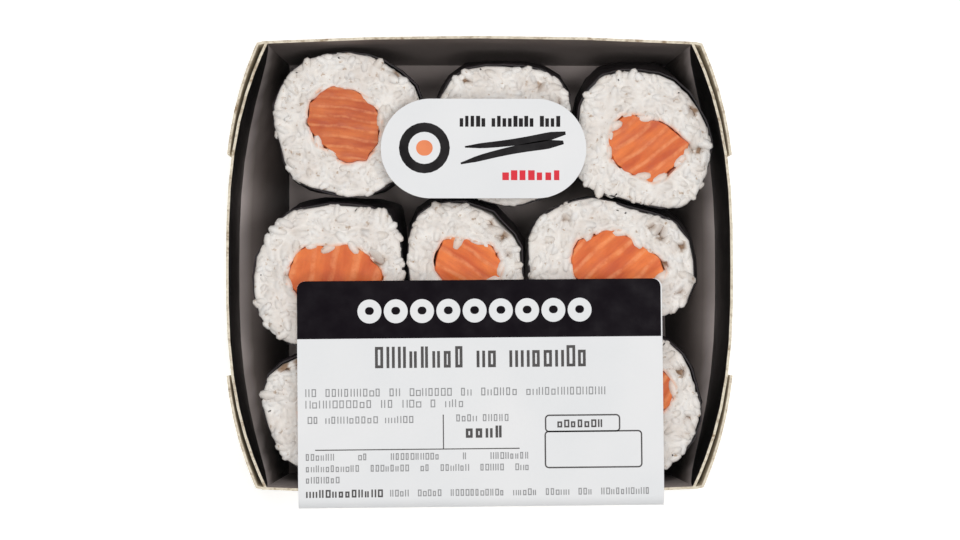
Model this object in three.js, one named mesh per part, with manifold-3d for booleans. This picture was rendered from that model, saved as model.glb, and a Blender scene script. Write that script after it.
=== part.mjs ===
// A takeaway sushi tray: nine salmon hosomaki rolls that stand on end in a folded paperboard
// tray, under a clear lidding film that carries a round-ended sticker and a printed label.
// Millimetres, +Z up, +X to the right, -Y to the front. The origin is the middle of the
// underside of the tray's floor.
import * as THREE from "three";
import { mergeVertices } from "three/addons/utils/BufferGeometryUtils.js";
import Module from "manifold-3d";

const wasm = await Module();
wasm.setup();

// ---- Driving dimensions ----

// The tray is folded from one blank. Each side wall leans out from the floor to a bowed
// crease, and stands upright above it as a band that is tallest at the middle of the side.
const BOARD = 0.5;
const TRAY_HEIGHT = 28.5;
const FLOOR = { width: 76.8, depth: 83.2 };
const RIM = { cornerWidth: 81.8, middleWidth: 96.6, cornerDepth: 85.2, middleDepth: 87.4 };
const SIDE_BOW_POWER = 2.8;
const BAND = { height: 25, least: 0.6, power: 4 };
const WALL_END = 1.004; // the side sheet runs a little into the front and back walls
const STEPS = { side: 19, panel: 4, end: 3, flap: 6, filmSide: 13, filmEnd: 5, bend: 6, arc: 6, roll: 24 };
// The front and back walls turn round the corners as flaps, glued outside the side walls. They
// stand off the side walls a little more near the corners, where the board springs back.
const FLAP = { length: 21.5, start: 0.965, gap: 0.4, cornerGap: 0.95, rise: 0.13 };
const CORNER = { floor: 39.7, rim: 41.7 };

// The film lies on the rim. Sticker and label lie on the film.
const FILM = { thickness: 0.1, overhang: 1.5, lift: 0.02 };
const PAPER = 0.15;
const PAPER_LIFT = 0.03;
const STICKER = { width: 39.6, depth: 19.2, x: 0.7, y: 22.4 };
const LABEL = {
  width: 70.2,
  left: -35.2,
  back: -2.9, // where its back edge lies
  corner: 1.6, // radius of its two back corners
  bendStart: -44.5, // where it begins to turn down, just past the front rim
  bendRadius: 1.9,
  bendAngle: 102, // degrees, so that its end leans back against the front wall
  tail: 13, // straight length below the bend
  turn: 0.5, // degrees, as it was stuck on a little askew
};
const HEADER = { depth: 11, inset: 0.25, thickness: 0.06 };

// The rolls: seaweed round rice round a stick of salmon.
const ROLL = {
  height: 24.2,
  bulge: 0.03, // how much fatter a roll is at its belly
  knee: 0.3, // height of the belly, as a share of the roll
  gap: 0.5, // least distance between two rolls
  wallGap: 0.4, // least distance to a wall
  cornerCare: 3.4, // how much earlier than the walls a roll gives way to the tray's corners
  lift: 0.05, // clear of the tray's floor
};
const NORI = { thickness: 0.35, gap: 0.05, drop: 0.9 };
const RICE_ROUND = 0.7; // how far the rice rounds off at its top edge
const FISH = { gap: 0.05, proud: 0.35, round: 0.5, cornerCut: 0.2, fromWall: 11 };
// A grain is blunt at its ends, and lies in the cut face up to its sink below its middle.
const GRAIN = { length: 5.8, width: 2.9, thickness: 2.3, blunt: 1.35, sides: 5, sink: 0.3 };
const GRAIN_ROWS = [
  { reach: 0.8, count: 13, turn: 0.5 }, // reach: share of the radius, turn: most off the ring
  { reach: 0.58, count: 7, turn: 1.2 },
];
const GRAIN_SPREAD = { angle: 0.5, reach: 0.03, size: 0.1, pitch: 0.15 }; // how uneven they are

// Each roll: the middle of its cut face, the half axes of that face, their turn in degrees,
// how square it is (2 is an ellipse), where it bulges or is dented (an angle in degrees and how
// far), how far it leans, and the salmon's corners as pairs of an angle in degrees and a reach
// from the salmon's own middle.
const DENT = 30; // half width of a bulge or dent in degrees
const ROLLS = {
  back_left: {
    x: -25.7, y: 27.3, a: 14.7, b: 14.1, turn: 10, square: 2.1, lean: [0.7, -1.3],
    dents: [[25, 1], [125, 0.5], [195, -1.3], [250, -0.6]],
    fish: [-0.3, 0.4],
    cut: [[8, 7.4], [62, 6.5], [118, 8], [146, 8.1], [172, 7.4],
      [215, 7.1], [240, 6.1], [264, 7.9], [306, 8.4]],
  },
  back_middle: {
    x: 4.9, y: 25.3, a: 13.9, b: 13.7, turn: 0, square: 2.4, lean: [-0.5, -3.6],
    dents: [[125, 0.6], [45, 0.5]],
    fish: [0, 0.3],
    cut: [[20, 6.6], [80, 6.2], [140, 7.2], [205, 6.4], [265, 6.8], [320, 6.4]],
  },
  back_right: {
    x: 31.2, y: 24, a: 13.8, b: 14, turn: -30, square: 2.1, lean: [-1.4, -4.6],
    dents: [[28, -0.6], [122, 1], [230, -0.9], [268, -1.1], [312, 1.3]],
    fish: [0.9, -0.8],
    cut: [[358, 9.5], [38, 6.4], [72, 5.7], [122, 7.4], [146, 7.4], [172, 6.8],
      [200, 7.3], [230, 6], [290, 8.1]],
  },
  middle_left: {
    x: -29.4, y: -2.2, a: 15, b: 14.4, turn: 0, square: 2.3, lean: [-2, -3.1],
    dents: [[50, 1.6], [108, -0.7], [148, -1.5], [192, -0.6]],
    fish: [1.2, 0],
    cut: [[358, 10.6], [43, 7.4], [66, 6.7], [90, 5.7], [112, 6.4], [138, 8.7],
      [182, 9.8], [228, 7.7], [305, 7.8]],
  },
  middle_middle: {
    x: -2.7, y: 0.6, a: 11.8, b: 11.8, turn: 0, square: 2.2, lean: [0, -2.9],
    dents: [[42, -1.2], [130, 0.8], [170, -0.6]],
    fish: [0.6, -0.6],
    cut: [[2, 6.6], [44, 6], [66, 4.7], [128, 7.2], [168, 6.7],
      [192, 6.2], [245, 5.8], [330, 6.6]],
  },
  middle_right: {
    x: 25.1, y: 0.9, a: 16.2, b: 12.3, turn: -4, square: 2.2, lean: [-2.8, -1.2],
    dents: [[60, 0.6], [160, 0.8], [332, 1.4]],
    fish: [1.6, -1.2],
    cut: [[350, 9.8], [14, 8.5], [44, 5.9], [88, 7.2], [122, 7.8], [150, 9.6],
      [192, 9.1], [262, 6.4], [312, 7.2]],
  },
  front_left: {
    x: -29.1, y: -28.1, a: 12.7, b: 11.5, turn: 0, square: 2.5, lean: [0.6, 0],
    dents: [[150, 0.5], [205, -1.2]],
    fish: [0, 0],
    cut: [[15, 6.6], [75, 5.8], [140, 6.8], [195, 6.2], [250, 6], [315, 6.6]],
  },
  front_middle: {
    x: 0.3, y: -26.4, a: 13.4, b: 13.2, turn: 0, square: 2.2, lean: [0, -0.6],
    dents: [[60, 0.4], [235, -0.5]],
    fish: [0, 0],
    cut: [[0, 6.8], [65, 6.4], [130, 6.8], [190, 6.2], [255, 6.9], [310, 6.3]],
  },
  front_right: {
    x: 29.8, y: -26.7, a: 13.3, b: 13.5, turn: 15, square: 2.2, lean: [-1.8, 0],
    dents: [[15, -0.5], [110, 0.4]],
    fish: [0.7, 1.4],
    cut: [[5, 6.9], [50, 6.2], [120, 6.8], [180, 6.6], [240, 6.6], [300, 5.4]],
  },
};

// ---- Colours and finishes ----

const finish = (color, roughness) =>
  new THREE.MeshStandardMaterial({ color, roughness, metalness: 0 });
const FINISH = {
  board: () => finish(0x2a2524, 0.6),
  film: () => Object.assign(finish(0xf4f6f7, 0.1), { transparent: true, opacity: 0.15 }),
  paper: () => finish(0xe6e7e8, 0.5),
  ink: () => finish(0x1b171d, 0.4),
  rice: () => finish(0xefece6, 0.5),
  nori: () => finish(0x17100f, 0.55),
  salmon: () => finish(0xe8814e, 0.35),
};

// ---- Helpers: angles, random numbers, meshes and solids ----

const radians = THREE.MathUtils.degToRad;
const lerp = THREE.MathUtils.lerp;
const point = (x, y, z) => new THREE.Vector3(x, y, z);

// A seeded random number generator, so that the rice is the same each time.
function seededRandom(seed) {
  let state = seed;
  return () => {
    state = (state + 0x6d2b79f5) | 0;
    let t = Math.imul(state ^ (state >>> 15), 1 | state);
    t = (t + Math.imul(t ^ (t >>> 7), 61 | t)) ^ t;
    return ((t ^ (t >>> 14)) >>> 0) / 4294967296;
  };
}

function meshOf(points, triangles) {
  const geometry = new THREE.BufferGeometry();
  geometry.setFromPoints(points);
  geometry.setIndex(triangles.flat());
  return geometry;
}

const MERGE = 1e-4; // points closer than this are one

function solidOf(geometry) {
  const bare = geometry.clone();
  bare.deleteAttribute("normal");
  bare.deleteAttribute("uv");
  const merged = mergeVertices(bare, MERGE);
  return new wasm.Manifold(
    new wasm.Mesh({
      numProp: 3,
      vertProperties: merged.attributes.position.array,
      triVerts: new Uint32Array(merged.index.array),
    }),
  );
}

function geometryOf(solid) {
  const mesh = solid.getMesh();
  const geometry = new THREE.BufferGeometry();
  geometry.setAttribute("position", new THREE.BufferAttribute(mesh.vertProperties, 3));
  geometry.setIndex(new THREE.BufferAttribute(mesh.triVerts, 1));
  return geometry;
}

// A closed solid through rings of equally many points, from the lowest ring to the highest,
// each ring anticlockwise from above. Both ends are closed to a middle point.
function loft(rings) {
  const count = rings[0].length;
  const points = rings.flat();
  const triangles = [];
  const last = (rings.length - 1) * count;
  for (let r = 0; r < rings.length - 1; r++)
    for (let i = 0; i < count; i++) {
      const a = r * count + i;
      const b = r * count + ((i + 1) % count);
      triangles.push([a, b, b + count], [a, b + count, a + count]);
    }
  const middle = (ring) => ring.reduce((sum, p) => sum.add(p), point(0, 0, 0)).divideScalar(count);
  const bottom = points.push(middle(rings[0])) - 1;
  const top = points.push(middle(rings.at(-1))) - 1;
  for (let i = 0; i < count; i++) {
    const next = (i + 1) % count;
    triangles.push([bottom, next, i], [top, last + i, last + next]);
  }
  return meshOf(points, triangles);
}

// A closed ring-shaped solid between an outer and an inner stack of rings. Both faces are
// split into triangles alike, so that what fills the sleeve fits it.
function sleeve(outer, inner) {
  const count = outer[0].length;
  const levels = outer.length;
  const back = levels * count;
  const triangles = [];
  for (let i = 0; i < count; i++) {
    const next = (i + 1) % count;
    for (let r = 0; r < levels - 1; r++) {
      const [a, b] = [r * count + i, r * count + next];
      triangles.push([a, b, b + count], [a, b + count, a + count]);
      const [c, d] = [back + a, back + b];
      triangles.push([c, d + count, d], [c, c + count, d + count]);
    }
    const top = (levels - 1) * count;
    const [e, f] = [top + i, top + next];
    triangles.push([e, f, back + f], [e, back + f, back + e]);
    triangles.push([i, back + next, next], [i, back + i, back + next]);
  }
  return meshOf([...outer, ...inner].flat(), triangles);
}

// A closed sheet between two grids of points, inner[i][j] and outer[i][j]. It is turned the
// right way out by the sign of its volume.
function sheet(inner, outer) {
  const rows = inner.length;
  const columns = inner[0].length;
  const points = [...inner.flat(), ...outer.flat()];
  const back = rows * columns;
  const at = (i, j) => i * columns + j;
  const triangles = [];
  const quad = (a, b, c, d) => triangles.push([a, b, c], [a, c, d]);
  for (let i = 0; i < rows - 1; i++)
    for (let j = 0; j < columns - 1; j++) {
      quad(at(i, j), at(i + 1, j), at(i + 1, j + 1), at(i, j + 1));
      quad(back + at(i, j), back + at(i, j + 1), back + at(i + 1, j + 1), back + at(i + 1, j));
    }
  for (let i = 0; i < rows - 1; i++)
    for (const j of [0, columns - 1]) {
      const [a, b] = j === 0 ? [at(i, j), at(i + 1, j)] : [at(i + 1, j), at(i, j)];
      quad(a, back + a, back + b, b);
    }
  for (let j = 0; j < columns - 1; j++)
    for (const i of [0, rows - 1]) {
      const [a, b] = i === 0 ? [at(i, j + 1), at(i, j)] : [at(i, j), at(i, j + 1)];
      quad(a, back + a, back + b, b);
    }
  const geometry = meshOf(points, triangles);
  if (signedVolume(geometry) < 0) geometry.setIndex(triangles.flatMap(([a, b, c]) => [a, c, b]));
  return geometry;
}

function signedVolume(geometry) {
  const corner = [0, 1, 2].map(() => new THREE.Vector3());
  const { index, attributes } = geometry;
  let sum = 0;
  for (let t = 0; t < index.count; t += 3) {
    corner.forEach((p, k) => p.fromBufferAttribute(attributes.position, index.getX(t + k)));
    sum += corner[0].dot(corner[1].clone().cross(corner[2])) / 6;
  }
  return sum;
}

// Evenly spread numbers, both ends included.
const spread = (count, from, to) =>
  Array.from({ length: count }, (_, i) => lerp(from, to, i / (count - 1)));

// ---- The tray ----

// Along a side wall t runs from -1 at the front corner to 1 at the back corner.
const sideX = (t) =>
  lerp(RIM.middleWidth, RIM.cornerWidth, Math.min(1.05, Math.abs(t) ** SIDE_BOW_POWER)) / 2;
const bandHeight = (t) =>
  Math.max(BAND.least, BAND.height * Math.sqrt(Math.max(0, 1 - Math.abs(t) ** BAND.power)));
const floorCrease = (t) => point(FLOOR.width / 2, (FLOOR.depth / 2) * t, BOARD);
const bowCrease = (t) => point(sideX(t), (RIM.cornerDepth / 2) * t, TRAY_HEIGHT - bandHeight(t));

// Along the front or back wall s runs from -1 to 1 between the corners.
const endY = (s) => lerp(RIM.middleDepth, RIM.cornerDepth, s * s) / 2;

// The right side wall's outward normals at t: of the leaning panel, at its foot and at its
// bowed crease, and of the upright band.
function sideNormals(t) {
  const step = 1e-3;
  const along = bowCrease(t + step).sub(bowCrease(t - step));
  const up = bowCrease(t).sub(floorCrease(t));
  const foot = point(0, 1, 0).cross(up).normalize();
  const crease = along.clone().cross(up).normalize();
  const band = along.clone().setZ(0).cross(point(0, 0, 1)).normalize();
  return { foot, crease, band };
}

// The step from an inner point to the surface that lies at a distance outside two faces.
const mitre = (a, b, distance) => a.clone().add(b).multiplyScalar(distance / (1 + a.dot(b)));

// The right side wall's section at t, pushed out by a distance: foot, bowed crease and rim.
function sideSection(t, distance) {
  const { foot, crease, band } = sideNormals(t);
  const down = point(0, 0, -1);
  const rim = bowCrease(t).setZ(TRAY_HEIGHT);
  return [
    floorCrease(t).add(mitre(foot, down, distance)),
    bowCrease(t).add(mitre(crease, band, distance)),
    rim.add(band.multiplyScalar(distance)),
  ];
}

const mirrored = (p) => point(-p.x, p.y, p.z);

// The floor and both side walls in one sheet, from the left rim to the right rim. A leaning
// panel twists towards the corners, so it is divided upwards too.
function floorAndSides() {
  const steps = spread(STEPS.side, -1, 1).map((s) => WALL_END * Math.sin((s * Math.PI) / 2));
  const row = (t, distance) => {
    const [foot, crease, rim] = sideSection(t, distance);
    const panel = spread(STEPS.panel, 0, 1).map((share) => foot.clone().lerp(crease, share));
    const right = [...panel, rim];
    return [...right.map(mirrored).toReversed(), ...right];
  };
  return sheet(steps.map((t) => row(t, 0)), steps.map((t) => row(t, BOARD)));
}

// The back wall's section at s, from its foot to the rim, with a point at a middle height.
function endSection(s, distance, middleHeight) {
  return [0, middleHeight, TRAY_HEIGHT].map((z) => {
    const climb = z / TRAY_HEIGHT;
    const x = lerp(CORNER.floor, CORNER.rim, climb) * s;
    return point(x, lerp(FLOOR.depth / 2, endY(s), climb) + distance, z);
  });
}

// The glued flap at the back right corner, a distance outside its own inner face. It follows
// the side wall outside, and its lower edge climbs from the floor at the corner to just over
// the bowed crease at its free end.
function flapRows(distance) {
  const free = 1 - FLAP.length / (RIM.cornerDepth / 2);
  return spread(STEPS.flap, FLAP.start, free).map((t) => {
    const way = (FLAP.start - t) / (FLAP.start - free);
    const gap = lerp(FLAP.cornerGap, FLAP.gap, way);
    const [foot, crease, rim] = sideSection(t, BOARD + gap + distance);
    return [foot.lerp(crease, lerp(FLAP.rise, 1 - FLAP.rise, way)), crease, rim];
  });
}

// Halfway round a bend between two sections, which turns from the way along X to along Y.
const bendRow = (before, after) =>
  before.map((p, k) => {
    const corner = point(after[k].x, p.y, (p.z + after[k].z) / 2);
    return p.clone().add(after[k]).divideScalar(2).lerp(corner, 0.5);
  });

// The back wall (end 1) or the front wall (end -1) with the flaps at both its ends.
function endWall(end) {
  const rows = (distance) => {
    const flap = flapRows(distance);
    const wall = spread(STEPS.end, 0, 1).map((s) => endSection(s, distance, flap[0][1].z));
    const half = [...wall, bendRow(wall.at(-1), flap[0]), ...flap];
    const other = half.slice(1).map((row) => row.map(mirrored));
    return [...other.toReversed(), ...half].map((row) => row.map((p) => point(p.x, end * p.y, p.z)));
  };
  return sheet(rows(0), rows(BOARD));
}

function tray() {
  const parts = [floorAndSides(), endWall(1), endWall(-1)].map(solidOf);
  return geometryOf(parts.reduce((whole, part) => whole.add(part)));
}

// ---- The film, the sticker and the label ----

const plate = (shape, depth) =>
  new THREE.ExtrudeGeometry(shape, { depth, bevelEnabled: false, curveSegments: STEPS.arc });

function film() {
  const corner = RIM.cornerDepth / 2 + BOARD;
  const side = spread(STEPS.filmSide, -1, 1).map((t) => [sideX(t) + FILM.overhang, corner * t]);
  const back = spread(STEPS.filmEnd + 2, 1, -1)
    .slice(1, -1)
    .map((s) => [(RIM.cornerWidth / 2) * s, endY(s) + BOARD]);
  const half = [...side, ...back];
  const outline = [...half, ...half.map(([x, y]) => [-x, -y])];
  return plate(new THREE.Shape(outline.map(([x, y]) => new THREE.Vector2(x, y))), FILM.thickness);
}

function sticker() {
  const radius = STICKER.depth / 2;
  const reach = STICKER.width / 2 - radius;
  const pill = new THREE.Shape();
  pill.absarc(reach, 0, radius, -Math.PI / 2, Math.PI / 2);
  pill.absarc(-reach, 0, radius, Math.PI / 2, Math.PI * 1.5);
  return plate(pill, PAPER);
}

// A rectangle with its two back corners rounded, from its back edge at y = 0 to the front.
function tabShape(width, depth, corner) {
  const half = width / 2;
  const shape = new THREE.Shape();
  shape.moveTo(-half, -depth);
  shape.lineTo(half, -depth);
  shape.absarc(half - corner, -corner, corner, 0, Math.PI / 2);
  shape.absarc(-half + corner, -corner, corner, Math.PI / 2, Math.PI);
  return shape;
}

// The label's section in y and z, a distance above its lower face: flat, then round the bend,
// then straight down to its end.
function labelSection(distance) {
  const flat = LABEL.bendStart - LABEL.back;
  const radius = LABEL.bendRadius + distance;
  const heading = radians(LABEL.bendAngle);
  const bend = spread(STEPS.bend, 0, heading).map((angle) => [
    flat - radius * Math.sin(angle),
    radius * Math.cos(angle) - LABEL.bendRadius,
  ]);
  const [y, z] = bend.at(-1);
  const end = [y - LABEL.tail * Math.cos(heading), z - LABEL.tail * Math.sin(heading)];
  return [[0, distance], ...bend, end];
}

function label() {
  const section = [...labelSection(0), ...labelSection(PAPER).toReversed()];
  const strip = new THREE.Shape(section.map(([y, z]) => new THREE.Vector2(y, z)));
  // Extruded along X: the shape's x and y become the label's y and z.
  const wrap = new THREE.ExtrudeGeometry(strip, { depth: LABEL.width, bevelEnabled: false });
  wrap.applyMatrix4(new THREE.Matrix4().makeBasis(point(0, 1, 0), point(0, 0, 1), point(1, 0, 0)));
  wrap.translate(-LABEL.width / 2, 0, 0);
  const reach = LABEL.width; // more than the label's own depth and height
  const trim = plate(tabShape(LABEL.width, reach, LABEL.corner), reach).translate(0, 0, -reach / 2);
  return geometryOf(solidOf(wrap).intersect(solidOf(trim)));
}

const header = () =>
  plate(tabShape(LABEL.width - 2 * HEADER.inset, HEADER.depth, LABEL.corner), HEADER.thickness);

// ---- The rolls ----

// How much of a bulge or dent is left in a direction: 1 at its middle, 0 past its half width.
function dentShare(angle, middle) {
  const turn = THREE.MathUtils.euclideanModulo(angle - radians(middle), 2 * Math.PI);
  const off = Math.min(turn, 2 * Math.PI - turn);
  return Math.cos((Math.min(off / radians(DENT), 1) * Math.PI) / 2) ** 2;
}

// The reach of a roll's outline from its middle in a direction, at a share w of its height.
function rollReach(roll, angle, w) {
  const turned = angle - radians(roll.turn);
  const across = Math.abs(Math.cos(turned) / roll.a) ** roll.square;
  const deep = Math.abs(Math.sin(turned) / roll.b) ** roll.square;
  const belly = 1 + ROLL.bulge * (w < ROLL.knee ? w / ROLL.knee : (1 - w) / (1 - ROLL.knee));
  const uneven = roll.dents.reduce((sum, [middle, far]) => sum + far * dentShare(angle, middle), 0);
  return (across + deep) ** (-1 / roll.square) * belly + uneven + NORI.thickness;
}

const rollMiddle = (roll, w) => [roll.x - roll.lean[0] * (1 - w), roll.y - roll.lean[1] * (1 - w)];
const rollHeight = (w) => BOARD + ROLL.lift + ROLL.height * w;
const rollShare = (z) => (z - rollHeight(0)) / ROLL.height;

// A point is drawn back to the tray's inner faces, as a soft roll yields to them.
function insideTray([x, y], z) {
  const t = THREE.MathUtils.clamp(y / (RIM.cornerDepth / 2 - ROLL.cornerCare), -1, 1);
  const s = THREE.MathUtils.clamp(x / (RIM.cornerWidth / 2 - ROLL.cornerCare), -1, 1);
  const crease = bowCrease(t);
  const climb = Math.min(1, (z - BOARD) / (crease.z - BOARD));
  const mostX = lerp(FLOOR.width / 2, crease.x, climb) - ROLL.wallGap;
  const mostY = lerp(FLOOR.depth / 2, endY(s), z / TRAY_HEIGHT) - ROLL.wallGap;
  return [THREE.MathUtils.clamp(x, -mostX, mostX), THREE.MathUtils.clamp(y, -mostY, mostY)];
}

// Two rolls that press on each other share the room between their middles in proportion to
// their reach, so a point past the face between them is drawn back to it.
function clearOfNeighbours(roll, [x, y], w) {
  const [cx, cy] = rollMiddle(roll, w);
  let [dx, dy] = [x - cx, y - cy];
  for (const other of Object.values(ROLLS)) {
    if (other === roll) continue;
    const [ox, oy] = rollMiddle(other, w);
    const distance = Math.hypot(ox - cx, oy - cy);
    const [nx, ny] = [(ox - cx) / distance, (oy - cy) / distance];
    const toOther = Math.atan2(ny, nx);
    const mine = rollReach(roll, toOther, w);
    const theirs = rollReach(other, toOther + Math.PI, w);
    const most = (distance * mine) / (mine + theirs) - ROLL.gap / 2;
    const past = dx * nx + dy * ny - most;
    if (past > 0) [dx, dy] = [dx - past * nx, dy - past * ny];
  }
  return [cx + dx, cy + dy];
}

// A ring of a roll at a share w of its height, drawn in by a distance from its outline.
function rollRing(roll, w, inset, z = rollHeight(w)) {
  const [cx, cy] = rollMiddle(roll, w);
  return spread(STEPS.roll + 1, 0, 2 * Math.PI)
    .slice(0, -1)
    .map((angle) => {
      const reach = rollReach(roll, angle, w);
      const free = [cx + reach * Math.cos(angle), cy + reach * Math.sin(angle)];
      const [x, y] = insideTray(clearOfNeighbours(roll, free, w), z);
      const keep = 1 - inset / Math.hypot(x - cx, y - cy);
      return point(cx + (x - cx) * keep, cy + (y - cy) * keep, z);
    });
}

const BELT = [0, ROLL.knee, 1 - NORI.drop / ROLL.height]; // heights of the seaweed's rings
const riceInset = NORI.thickness + NORI.gap;

const nori = (roll) =>
  sleeve(BELT.map((w) => rollRing(roll, w, 0)), BELT.map((w) => rollRing(roll, w, NORI.thickness)));

// The middle of the salmon at a height. It leans with its roll, and its foot stays far
// enough from the walls for the whole stick to clear them.
function fishMiddle(roll, z) {
  const [foot, head] = [0, 1].map((w) => rollMiddle(roll, w).map((c, k) => c + roll.fish[k]));
  const most = [FLOOR.width, FLOOR.depth].map((size) => size / 2 - FISH.fromWall);
  const kept = foot.map((c, k) => THREE.MathUtils.clamp(c, -most[k], most[k]));
  return kept.map((c, k) => lerp(c, head[k], rollShare(z)));
}

// The salmon's outline, with each corner cut to two points, at a height and drawn in.
function fishRing(roll, z, inset) {
  const [cx, cy] = fishMiddle(roll, z);
  const corners = roll.cut.map(([angle, reach]) => {
    const length = reach - inset;
    const heading = radians(angle);
    return point(cx + length * Math.cos(heading), cy + length * Math.sin(heading), z);
  });
  return corners.flatMap((corner, i) => {
    const before = corners.at(i - 1);
    const after = corners[(i + 1) % corners.length];
    return [before, after].map((other) => corner.clone().lerp(other, FISH.cornerCut));
  });
}

function salmon(roll) {
  const top = rollHeight(1) + FISH.proud;
  return loft([
    fishRing(roll, rollHeight(0), 0),
    fishRing(roll, top - FISH.round, 0),
    fishRing(roll, top, FISH.round),
  ]);
}

// One grain, one long and one wide, with its length along Y.
function grainShape() {
  const ball = new THREE.SphereGeometry(0.5, GRAIN.sides, 3);
  const { position } = ball.attributes;
  for (let i = 0; i < position.count; i++) {
    const along = position.getY(i) * GRAIN.blunt;
    if (Math.abs(along) < 0.5) position.setY(i, along);
  }
  return ball;
}

// Whole grains lie half sunk in the cut face, in rings that follow the roll's outline.
function grains(roll, random) {
  const shape = grainShape();
  const either = (most) => most * (2 * random() - 1);
  const [cx, cy] = rollMiddle(roll, 1);
  return GRAIN_ROWS.flatMap(({ reach, count, turn }) =>
    Array.from({ length: count }, (_, i) => {
      const angle = ((i + GRAIN_SPREAD.angle * random()) / count) * 2 * Math.PI;
      const away = rollReach(roll, angle, 1) * (reach + either(GRAIN_SPREAD.reach));
      const size = point(GRAIN.width, GRAIN.length, GRAIN.thickness);
      size.multiplyScalar(1 + either(GRAIN_SPREAD.size));
      const heading = new THREE.Euler(either(GRAIN_SPREAD.pitch), 0, angle + either(turn), "ZYX");
      const place = point(cx + away * Math.cos(angle), cy + away * Math.sin(angle), rollHeight(1));
      place.z -= GRAIN.sink;
      const turned = new THREE.Quaternion().setFromEuler(heading);
      return solidOf(shape.clone().applyMatrix4(new THREE.Matrix4().compose(place, turned, size)));
    }),
  );
}

function rice(roll, random) {
  const top = rollHeight(1);
  const shoulder = top - RICE_ROUND;
  const core = solidOf(
    loft([
      ...BELT.map((w) => rollRing(roll, w, riceInset)),
      rollRing(roll, 1, riceInset, shoulder),
      rollRing(roll, 1, riceInset + RICE_ROUND, top),
    ]),
  );
  // Grains stay within the roll's own outline and clear of the salmon.
  const above = GRAIN.thickness;
  const envelope = solidOf(
    loft([rollRing(roll, 1, riceInset, shoulder), rollRing(roll, 1, riceInset, top + above)]),
  );
  const hole = solidOf(
    loft([fishRing(roll, 0, -FISH.gap), fishRing(roll, top + above, -FISH.gap)]),
  );
  const strewn = grains(roll, random).reduce((heap, grain) => heap.add(grain)).intersect(envelope);
  return geometryOf(core.add(strewn).subtract(hole));
}

// ---- The whole ----

const whole = new THREE.Group();

function place(group, name, geometry, material) {
  const mesh = new THREE.Mesh(geometry, material);
  mesh.name = name;
  group.add(mesh);
  return mesh;
}

place(whole, "tray", tray(), FINISH.board());

Object.entries(ROLLS).forEach(([name, roll], i) => {
  place(whole, `rice_${name}`, rice(roll, seededRandom(i + 1)), FINISH.rice());
  place(whole, `nori_${name}`, nori(roll), FINISH.nori());
  place(whole, `salmon_${name}`, salmon(roll), FINISH.salmon());
});

const filmFoot = TRAY_HEIGHT + FILM.lift;
const paperFoot = filmFoot + FILM.thickness + PAPER_LIFT;
place(whole, "film", film(), FINISH.film()).position.z = filmFoot;
place(whole, "sticker", sticker(), FINISH.paper()).position.set(STICKER.x, STICKER.y, paperFoot);

const stuckOn = new THREE.Group();
stuckOn.position.set(LABEL.left + LABEL.width / 2, LABEL.back, paperFoot);
stuckOn.rotation.z = radians(LABEL.turn);
place(stuckOn, "label", label(), FINISH.paper());
place(stuckOn, "label_header", header(), FINISH.ink()).position.set(0, -HEADER.inset, PAPER + PAPER_LIFT);
whole.add(stuckOn);

export default whole;
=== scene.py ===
# %% [markdown]
# # A takeaway sushi tray
#
# Nine salmon hosomaki rolls stand on end in a folded paperboard tray. A clear film closes the
# tray, and carries a round-ended sticker and a label that turns over the front rim.
#
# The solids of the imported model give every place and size. This lesson dresses them: it makes
# the rice out of whole grains, crinkles the seaweed, cuts the salmon's fine edge, prints the
# labels, and gives each surface its finish. All lengths are in metres, +Z is up, and the
# tray's front, where the label turns down, faces -Y.

import math
import random
from typing import NamedTuple

import bmesh
import bpy
from mathutils import Matrix, Vector, noise
from mathutils.bvhtree import BVHTree
from mathutils.kdtree import KDTree


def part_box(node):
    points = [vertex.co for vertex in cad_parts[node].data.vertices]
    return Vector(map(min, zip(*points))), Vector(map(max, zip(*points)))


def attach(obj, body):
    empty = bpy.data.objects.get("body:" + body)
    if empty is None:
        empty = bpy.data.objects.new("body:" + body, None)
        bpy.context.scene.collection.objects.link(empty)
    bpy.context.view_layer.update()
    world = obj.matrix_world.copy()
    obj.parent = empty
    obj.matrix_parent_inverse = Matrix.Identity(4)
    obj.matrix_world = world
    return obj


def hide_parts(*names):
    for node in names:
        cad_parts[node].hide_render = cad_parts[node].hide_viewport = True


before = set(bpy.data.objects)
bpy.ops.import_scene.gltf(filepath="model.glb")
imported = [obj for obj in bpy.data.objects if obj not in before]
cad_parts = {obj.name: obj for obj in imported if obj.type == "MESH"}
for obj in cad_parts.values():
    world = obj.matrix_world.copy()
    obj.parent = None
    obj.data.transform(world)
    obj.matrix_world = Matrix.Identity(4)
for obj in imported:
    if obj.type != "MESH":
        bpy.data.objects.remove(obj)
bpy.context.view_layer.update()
MM = 0.001
TAU = 2 * math.pi


def in_mm(*corners):
    return [round(c / MM, 1) for corner in corners for c in corner]


# %% [markdown]
# ## Helpers that every piece uses
#
# Most pieces here are stacks of closed rings: a roll's skin, its rice, its salmon. A curve
# with a modifier could skin them, but extruding ring after ring with a bmesh operator keeps
# full control of where each ring lies. A stack ends in two caps, stays open, or is bridged
# from its last ring back to its first one.


# %% Rings, lofts and finished pieces
def ring_edges(ring):
    """The edges between neighbours in a closed ring of vertices."""
    pairs = zip(ring, ring[1:] + ring[:1])
    return [next(e for e in a.link_edges if e.other_vert(a) is b) for a, b in pairs]


def next_ring(bm, ring):
    """Extrudes a ring of vertices, and gives the new ring in the same order."""
    made = bmesh.ops.extrude_edge_only(bm, edges=ring_edges(ring))["geom"]
    fresh = {v for v in made if isinstance(v, bmesh.types.BMVert)}
    return [next(e.other_vert(v) for e in v.link_edges if e.other_vert(v) in fresh) for v in ring]


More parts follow.
